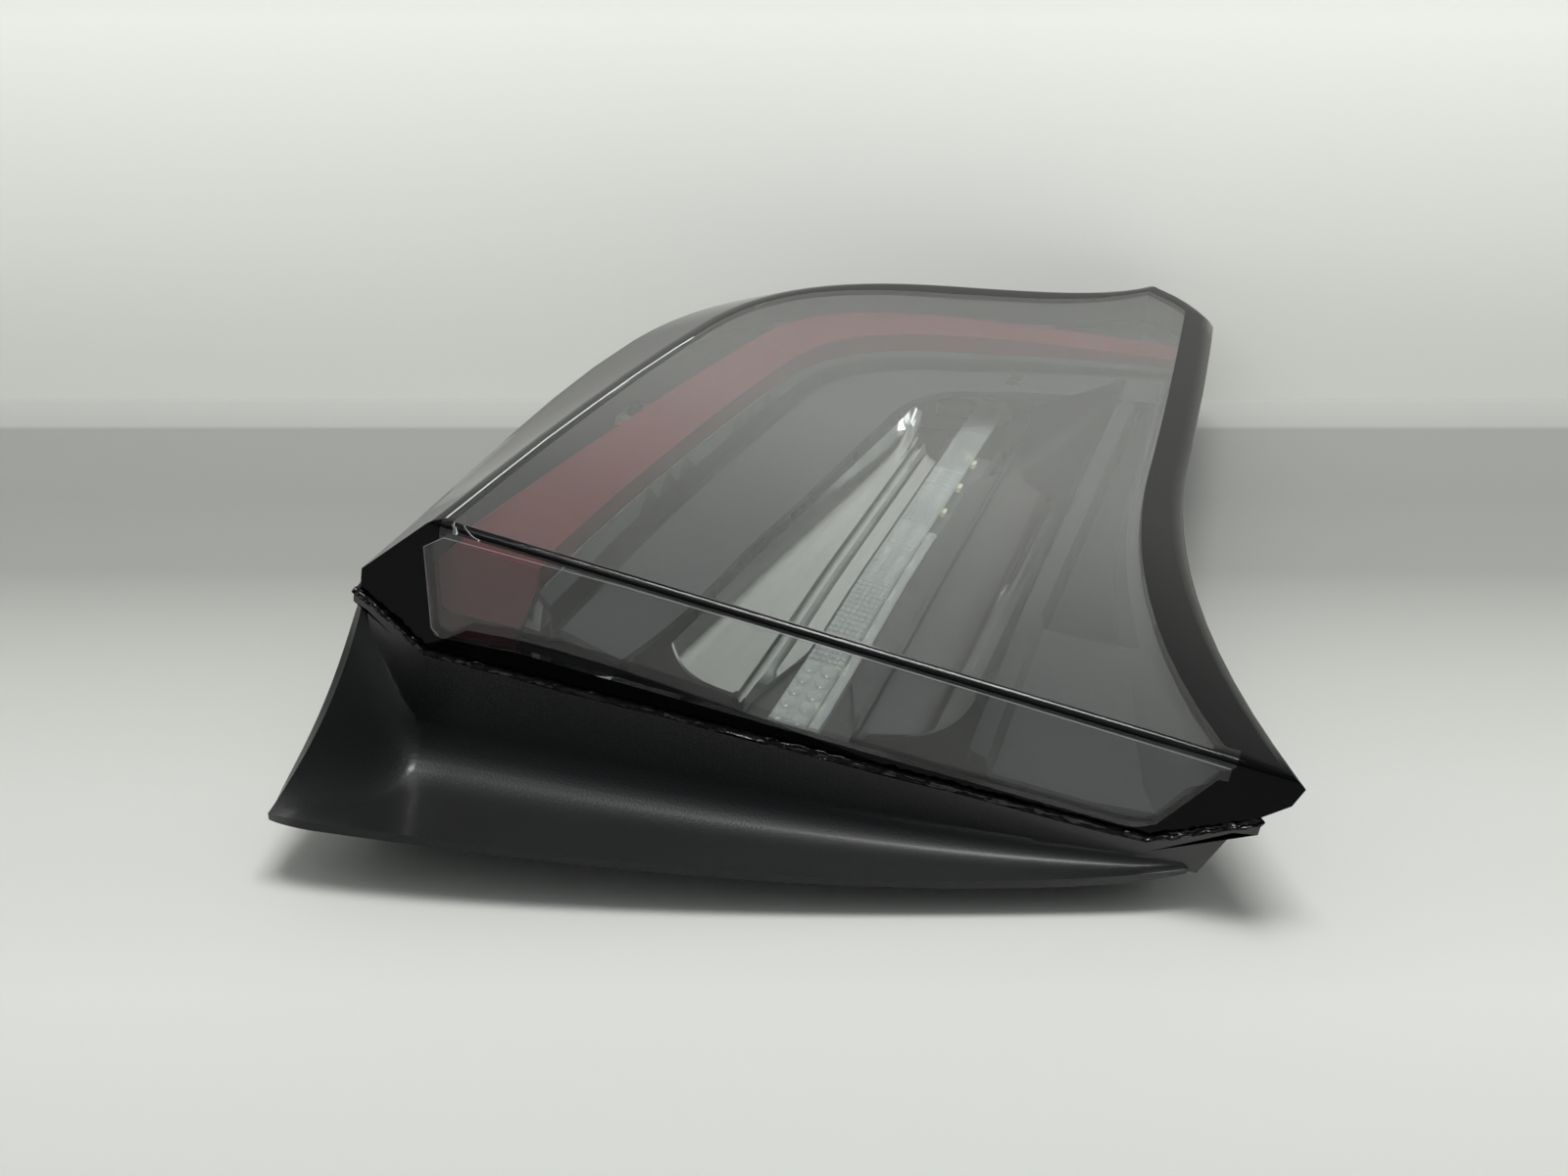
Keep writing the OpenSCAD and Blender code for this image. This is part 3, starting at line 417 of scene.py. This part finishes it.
# Reflectors: two polycarbonate troughs, one either side of the optic bar, with low fins at their inner edges.
# Moulded, then metallised with aluminium in a vacuum; the lower one has a smoked topcoat.
def metallised(name, colour):
    """A thin vacuum-laid mirror, which follows the slow waves of the plastic under it."""
    waves_per_metre = 60
    wave_height, wave_strength = 0.0004, 0.15
    made, tree, output = material(name)
    place = add(tree, "ShaderNodeTexCoord").outputs["Object"]
    waves = add(tree, "ShaderNodeTexNoise", Vector=place, Scale=waves_per_metre, Detail=1).outputs["Fac"]
    bump = add(tree, "ShaderNodeBump", Height=waves, Distance=wave_height, Strength=wave_strength)
    shader = add(
        tree, "ShaderNodeBsdfPrincipled",
        Base_Color=linear(colour), Metallic=1.0, Roughness=0.1, Normal=bump.outputs[0],
    )
    surface(tree, output, shader)
    return made

# The bright mirror shows the pale wall nearly as it is; the smoked one shows it far darker.
bright_mirror = metallised("polycarbonate, vacuum metallised, bright", "#CBCDCC")
dark_mirror = metallised("polycarbonate, vacuum metallised, smoked", "#474A4C")

front_y = 6
trough_rows = 48
rim_steps = 12
rim_rise = 1
scoop_start, scoop_rise = 0.86, 0.93
foot_z, foot_t = -23, 1.2

# The wall of a trough, row by row from the front: thin at its lip.
front_wall = [(0, 0.5), (4, 1.4)]

def scoop(f):
    """How far the floor of a trough has risen towards its rim, a share f of the way along."""
    return scoop_rise * (1 - math.sqrt(max(0, 1 - (max(0, f - scoop_start) / (1 - scoop_start)) ** 2)))

def lifted(curve, share, drift):
    """The curve of a trough's floor, lifted a share of the way to its rim."""
    top = max(curve[0][1], curve[3][1]) + rim_rise
    points = [bezier(curve, i / rim_steps) for i in range(rim_steps + 1)]
    return [(p[0] + drift * (curve[3][0] - p[0]), p[1] + (top - p[1]) * share) for p in points]

def between(value, table):
    """A value looked up between the entries of a table."""
    for (a, low), (b, high) in zip(table, table[1:]):
        if value <= b:
            return low + (high - low) * max(0, value - a) / (b - a)
    return table[-1][1]

def loft(name, node, rings, angle=32):
    """A closed mesh through rings of points on the lens, which replaces a CAD node."""
    count = len(rings[0])
    faces = [
        (k * count + i, k * count + (i + 1) % count, (k + 1) * count + (i + 1) % count, (k + 1) * count + i)
        for k in range(len(rings) - 1) for i in range(count)
    ]
    last = (len(rings) - 1) * count
    faces += [tuple(range(count))[::-1], tuple(range(last, last + count))]
    mesh = bpy.data.meshes.new(name)
    mesh.from_pydata([seat(*p) for ring in rings for p in ring], [], faces)
    made = bpy.data.objects.new(name, mesh)
    bpy.context.collection.objects.link(made)
    return placed(made, node, angle)

upper_curve = [(-32.4, -13.2), (-30.2, -18.2), (-27.5, -19.9), (-19.2, -19.9)]
upper_fins = [(-18.9, -19.3), (-18.4, -19.3), (-18, -21.4), (-17.5, -21.4), (-17.1, -20.2), (-16.5, -20.2)]
upper_foot = [
    (-15.6, foot_z + 0.5), (-14.4, foot_z + 0.1), (-12.5, foot_z),
    (-12.5, foot_z - foot_t), (-16.6, foot_z - foot_t),
]
upper_keel = (-19.4, -22)
upper_cut = [(0, -16.8), (12, -16.8), (53, -9)]
upper_length, upper_slant, upper_pivot = 142, 0.58, -22
upper_drift, upper_lean = 0.8, 0.5
rings = []
for k in range(trough_rows + 1):
    f = k / trough_rows
    thick = between(k, front_wall)
    top = lifted(upper_curve, scoop(f), upper_drift * f)
    under = [(x - upper_lean * thick, z - thick) for x, z in reversed(top)]
    limit = between(front_y + f * upper_length, upper_cut)
    foot = [(min(x, limit), z) for x, z in upper_fins[-1:] + upper_foot]
    row = top + upper_fins[:-1] + foot + [upper_keel] + under
    rings.append([(x, front_y + f * (upper_length - upper_slant * (x - upper_pivot)), z) for x, z in row])
upper_reflector = loft("upper_trough", "upper_reflector", rings)
finish(upper_reflector, bright_mirror)

lower_curve = [(7, -19.8), (14, -17.8), (22, -16), (24.6, -6)]
lower_foot = [
    (4, foot_z - foot_t), (-1.9, foot_z - foot_t), (-1.9, foot_z),
    (1.6, foot_z + 0.2), (3.6, foot_z + 0.8),
]
lower_fins = [(4.6, -20), (5.2, -20), (5.6, -21), (6, -21), (6.4, -19.5)]
lower_cut = [(0, 4.1), (9, 4.1), (14, 3.2), (41, -3.5)]
lower_length, lower_slant, lower_pivot = 160, 2, 14
lower_lean = 1 / 1.4
rings = []
for k in range(trough_rows + 1):
    f = k / trough_rows
    thick = between(k, front_wall)
    top = lifted(lower_curve, scoop(f), 0)
    under = [(x + lower_lean * thick, z - thick) for x, z in reversed(top)]
    limit = between(front_y + f * lower_length, lower_cut)
    foot = [(max(x, limit), z) for x, z in lower_foot]
    row = foot + lower_fins + top + under
    rings.append([(x, front_y + f * (lower_length + lower_slant * (x - lower_pivot)), z) for x, z in row])
lower_reflector = loft("lower_trough", "lower_reflector", rings)
finish(lower_reflector, dark_mirror)

# Fine lines of the lens: the parting line round the clear window of the split end, and the rounded edge where
# the clear face meets the black ridge. Each is a thread in a pale colour, a painted highlight, because the
# edges of the CAD model are sharp.
def fine_line(name, places, radius_mm, look):
    """A round thread through places on the lens."""
    curve = bpy.data.curves.new(name, "CURVE")
    curve.dimensions = "3D"
    curve.bevel_depth = radius_mm / 1000
    curve.bevel_resolution = 2
    run = curve.splines.new("POLY")
    run.points.add(len(places) - 1)
    for point, place in zip(run.points, places):
        point.co = (*seat(*place), 1)
    source = bpy.data.objects.new(name + "_path", curve)
    bpy.context.collection.objects.link(source)
    bpy.context.view_layer.update()
    mesh = bpy.data.meshes.new_from_object(source.evaluated_get(bpy.context.evaluated_depsgraph_get()))
    bpy.data.objects.remove(source)
    line = bpy.data.objects.new(name, mesh)
    bpy.context.collection.objects.link(line)
    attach(line, "root")
    finish(line, look)

# A painted highlight: the light line at the joint of the two shots is a fine grey thread.
parting_line_painted_highlight = moulded(
    "acrylic, painted parting line highlight", "#8E9394", "#9BA0A1", roughness=0.3, grain_mm=0.5, grain_depth=0.1, IOR=1.49,
)
parting_places = [
    (-77.6, 0, -24.2), (-79.2, 0, -22.9), (-82.2, 0, -6.3), (-78.3, 0, -3.2),
    (-41.4, 0, -2.2), (-1.7, 0, -2.0), (32.7, 0, -2.0), (70.7, 0, -2.2),
]
fine_line("window_parting_line", parting_places, 0.09, parting_line_painted_highlight)

# A painted highlight: the soft box's light on the rounded edge is a thin, nearly white line, just under the
# lens's skin.
edge_painted_highlight = moulded(
    "acrylic, polished edge", "#D2D6D6", "#DDE0E0", roughness=0.2, grain_mm=0.5, grain_depth=0.1, IOR=1.49,
)
edge_depth = -0.21
edge_places = [
    (-79, 2), (-79.04, 24.6), (-78.95, 47.3), (-78.3, 71.6), (-77.45, 94.1), (-76.15, 116.3), (-75.3, 127),
]
fine_line("face_edge_line", [(x, y, edge_depth) for x, y in edge_places], 0.19, edge_painted_highlight)

# Optic bar: a ribbon of clear acrylic between the two troughs, with a second strip beside its near half.
# Its face is moulded in fields of prisms: lenses at the near end, then pillows, ribs and rows of beads.
def bead_field():
    """Geometry Nodes: one moulded bead in rows and columns, each copy a little larger or smaller."""
    smallest, largest, seed = 0.9, 1.1, 7
    group = bpy.data.node_groups.new("bead_field", "GeometryNodeTree")
    group.is_modifier = True
    kinds = {
        "Columns": "Int", "Rows": "Int", "Width": "Float", "Length": "Float",
        "Bead": "Vector", "Centre": "Vector", "Finish": "Material",
    }
    for label, kind in kinds.items():
        group.interface.new_socket(label, in_out="INPUT", socket_type="NodeSocket" + kind)
    group.interface.new_socket("Geometry", in_out="OUTPUT", socket_type="NodeSocketGeometry")
    given = group.nodes.new("NodeGroupInput").outputs
    spots = add(
        group, "GeometryNodeMeshGrid", Size_X=given["Width"], Size_Y=given["Length"],
        Vertices_X=given["Columns"], Vertices_Y=given["Rows"],
    )
    bead = add(group, "GeometryNodeMeshUVSphere", Segments=12, Rings=8, Radius=1.0)
    jitter = add(
        group, "FunctionNodeRandomValue", {"data_type": "FLOAT"}, in2=smallest, in3=largest, Seed=seed,
    )
    size = add(
        group, "ShaderNodeVectorMath", {"operation": "SCALE"}, in0=given["Bead"], Scale=jitter.outputs[1],
    )
    copies = add(
        group, "GeometryNodeInstanceOnPoints",
        Points=spots.outputs["Mesh"], Instance=bead.outputs["Mesh"], Scale=size.outputs[0],
    )
    moved = add(group, "GeometryNodeTransform", Geometry=copies.outputs[0], Translation=given["Centre"])
    real = add(group, "GeometryNodeRealizeInstances", Geometry=moved.outputs[0])
    faced = add(group, "GeometryNodeSetMaterial", Geometry=real.outputs[0], Material=given["Finish"])
    group.links.new(faced.outputs[0], group.nodes.new("NodeGroupOutput").inputs["Geometry"])
    return group

def field_mesh(group, inputs):
    """The mesh of one field of beads, in millimetres on the lens."""
    blank = bpy.data.objects.new("field", bpy.data.meshes.new("field"))
    bpy.context.collection.objects.link(blank)
    array = blank.modifiers.new("field", "NODES")
    array.node_group = group
    sockets = {item.name: item.identifier for item in group.interface.items_tree if item.in_out == "INPUT"}
    for label, value in inputs.items():
        array[sockets[label]] = value
    bpy.context.view_layer.update()
    result = bpy.data.meshes.new_from_object(blank.evaluated_get(bpy.context.evaluated_depsgraph_get()))
    blank.modifiers.remove(array)
    bpy.data.objects.remove(blank)
    return result

# Water clear acrylic over a grey board: its prisms break up the view through it into a milky grey.
acrylic_water, tree, output = material("acrylic, water clear, prismatic")
milk = add(
    tree, "ShaderNodeBsdfPrincipled",
    Base_Color=linear("#C4C8C7"), Roughness=0.06, IOR=1.49, Transmission_Weight=0.78,
)
through = add(tree, "ShaderNodeBsdfTransparent", Color=linear("#D0D6D3"))
path = add(tree, "ShaderNodeLightPath").outputs["Is Shadow Ray"]
mixed = add(tree, "ShaderNodeMixShader", in0=path, in1=milk.outputs[0], in2=through.outputs[0])
surface(tree, output, mixed)

bar_left, bar_w, bar_top, bar_foot = -12.2, 10, -23, -25
face_w, face_sink, strip_gap = 7.6, 0.3, 0.3
bar_near, bar_middle, bar_far = 7, 101, 196
bar_edge = 0.25
bar_boxes = [
    (bar_left, bar_left + face_w, bar_top - face_sink, bar_far),
    (bar_left + face_w + strip_gap, bar_left + bar_w, bar_top, bar_middle),
]
box_faces = [(3, 2, 1, 0), (4, 5, 6, 7), (0, 1, 5, 4), (1, 2, 6, 5), (2, 3, 7, 6), (3, 0, 4, 7)]
shape = bmesh.new()
for left, right, top, far_y in bar_boxes:
    outline = [(left, bar_near), (right, bar_near), (right, far_y), (left, far_y)]
    corners = [shape.verts.new((x, y, z)) for z in (bar_foot, top) for x, y in outline]
    for face in box_faces:
        shape.faces.new([corners[i] for i in face])
bmesh.ops.bevel(shape, geom=list(shape.edges), offset=bar_edge, segments=2, affect="EDGES")

# Each field: its columns and rows, its width, the y of its near end, its length, and half the size of a bead.
bar_fields = [
    (2, 5, 3.8, 9, 20, (1.7, 2.4, 0.7)),
    (6, 17, 6.3, 33, 34, (0.6, 0.95, 0.5)),
    (2, 17, 3.8, 69, 20, (2.0, 0.5, 0.35)),
    (2, 15, 3.8, 91, 13, (2.0, 0.4, 0.22)),
    (7, 8, 6.4, 105.5, 11.5, (0.48, 0.66, 0.5)),
    (2, 12, 3.8, 118.5, 9.5, (2.0, 0.36, 0.22)),
    (2, 5, 3.8, 130, 9, (2.0, 1.0, 0.5)),
]
group = bead_field()
for columns, rows, width, start, length, bead in bar_fields:
    centre = (bar_left + face_w / 2, start + length / 2, bar_top - face_sink)
    field = field_mesh(group, {
        "Columns": columns, "Rows": rows, "Width": width, "Length": length,
        "Bead": bead, "Centre": centre, "Finish": acrylic_water,
    })
    shape.from_mesh(field)
    bpy.data.meshes.remove(field)
for vertex in shape.verts:
    vertex.co = seat(*vertex.co)
mesh = bpy.data.meshes.new("optic_ribbon")
shape.to_mesh(mesh)
shape.free()
optic_bar = bpy.data.objects.new("optic_ribbon", mesh)
bpy.context.collection.objects.link(optic_bar)
placed(optic_bar, "optic_bar", 40)
finish(optic_bar, acrylic_water)

# Holder of the optic bar: a black channel under it, with a plate either side of its near end.
# Moulded polycarbonate. The plates fill the notches in the reflectors' feet, and show as dark wedges.
holder_foot, holder_rim, holder_far = -29.6, -24.6, 165
holder_wall, holder_floor = 1.5, 1.55
inner_left, inner_right = -12.35, -0.7
floor_top = holder_foot + holder_floor
channel = [
    (inner_left - holder_wall, holder_foot), (inner_right + holder_wall, holder_foot),
    (inner_right + holder_wall, holder_rim), (inner_right, holder_rim),
    (inner_right, floor_top), (inner_left, floor_top),
    (inner_left, holder_rim), (inner_left - holder_wall, holder_rim),
]

# Smooth black plastic with a faint sheen, in the shade of the bar.
pc_black = moulded(
    "polycarbonate, black", "#101112", "#141516", roughness=0.35, grain_mm=0.4, grain_depth=0.1,
)
rings = [[(x, y, z) for x, z in channel] for y in (bar_near, holder_far)]
bar_holder = loft("bar_channel", "bar_holder", rings)
finish(bar_holder, pc_black)
plate_top, plate_foot, plate_far = -24.7, -26.1, 40
plate_gap = 0.02
plates = {"bar_plate_upper": (-17.6, inner_left - plate_gap), "bar_plate_lower": (-2.05, 4.6)}
for name, (left, right) in plates.items():
    section = [(left, plate_foot), (right, plate_foot), (right, plate_top), (left, plate_top)]
    rings = [[(x, y, z) for x, z in section] for y in (bar_near, plate_far)]
    finish(loft(name, "bar_holder", rings), pc_black)

# Lamp boards: the white carrier tray under the red guide, its board, and the board of the optic bar.
# The boards are glass-epoxy laminate with a coloured solder mask and one row of chips each.
# The white tray throws stray light back up; the boards are satin, and each chip is a pale yellow dot.
pc_white = moulded(
    "polycarbonate, white", "#D9D9D4", "#DEDED9", roughness=0.45, grain_mm=0.4, grain_depth=0.1,
)
board_green = moulded(
    "glass-epoxy laminate, green mask", "#0F3B22", "#12452A", roughness=0.35, grain_mm=0.8, grain_depth=0.1,
)
board_grey = moulded(
    "glass-epoxy laminate, grey mask", "#424544", "#484B4A", roughness=0.35, grain_mm=0.8, grain_depth=0.1,
)
chip_yellow = moulded(
    "phosphor resin over lamp chips", "#D8D4B0", "#DEDAB8", roughness=0.3, grain_mm=0.6, grain_depth=0.1,
)
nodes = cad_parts
finish(nodes["tail_guide_carrier"], pc_white)
finish(nodes["tail_circuit_board"], board_green)
finish(nodes["bar_circuit_board"], board_grey)
finish(nodes["tail_leds"], chip_yellow)
finish(nodes["bar_leds"], chip_yellow)

# Driver: its green board with black epoxy chips and an extruded aluminium heat sink, low in the housing.
# Steel screws hold it. The aluminium is dull; the screws are plated, bright here and black on the tray.
epoxy_black = moulded(
    "moulded epoxy, black", "#17181A", "#1C1D1F", roughness=0.5, grain_mm=0.3, grain_depth=0.2,
)

def metal(name, colour, roughness, grain_mm):
    """A bare or plated metal, with the fine unevenness that its making left."""
    grain_height, grain_strength, sheen_spread = 0.0001, 0.1, 0.15
    dull, bright = roughness * (1 + sheen_spread), roughness * (1 - sheen_spread)
    made, tree, output = material(name)
    place = add(tree, "ShaderNodeTexCoord").outputs["Object"]
    grain = add(tree, "ShaderNodeTexNoise", Vector=place, Scale=1000 / grain_mm, Detail=2).outputs["Fac"]
    sheen = add(tree, "ShaderNodeMapRange", Value=grain, To_Min=bright, To_Max=dull)
    bump = add(tree, "ShaderNodeBump", Height=grain, Distance=grain_height, Strength=grain_strength)
    shader = add(
        tree, "ShaderNodeBsdfPrincipled",
        Base_Color=linear(colour), Metallic=1.0, Roughness=sheen.outputs[0], Normal=bump.outputs[0],
    )
    surface(tree, output, shader)
    return made

aluminium = metal("aluminium, extruded", "#C6C8CA", roughness=0.35, grain_mm=1.0)
zinc = metal("steel, zinc plated", "#B9BABB", roughness=0.32, grain_mm=1.5)
black_zinc = metal("steel, black zinc plated", "#232425", roughness=0.4, grain_mm=1.5)
finish(nodes["driver_board"], board_green)
finish(nodes["driver_chips"], epoxy_black)
finish(nodes["driver_heat_sink"], aluminium)
finish(nodes["board_screws"], zinc)
finish(nodes["carrier_screws"], black_zinc)

# Socket: the black nylon shroud in the back of the housing, with its tinned brass contacts.
# The glass in the nylon leaves it satin; the tin gives the contacts a warm, bright sheen.
nylon_black = moulded(
    "glass-filled nylon, black", "#15161A", "#1B1C20", roughness=0.5, grain_mm=0.5, grain_depth=0.3,
)
tinned_brass = metal("brass, tinned", "#CDB98A", roughness=0.25, grain_mm=1.0)
finish(nodes["connector_socket"], nylon_black)
finish(nodes["connector_pins"], tinned_brass)

# Mounting: three zinc plated steel studs pressed into pockets in the back, each with a rubber seal.
# The foam gasket seals the lamp to the body, and the cap lets it breathe; rubber and foam are dull and black.
rubber_black = moulded(
    "EPDM rubber, black", "#17181A", "#1C1D1F", roughness=0.65, grain_mm=0.6, grain_depth=0.4,
)
foam_black = moulded(
    "closed-cell foam, black", "#1A1B1C", "#222324", roughness=0.85, grain_mm=0.5, grain_depth=1.0,
)
for stud in ("stud_upper", "stud_lower", "stud_far"):
    finish(nodes[stud], zinc)
finish(nodes["stud_seals"], rubber_black)
finish(nodes["body_gasket"], foam_black)
finish(nodes["breather_cap"], pc_black)
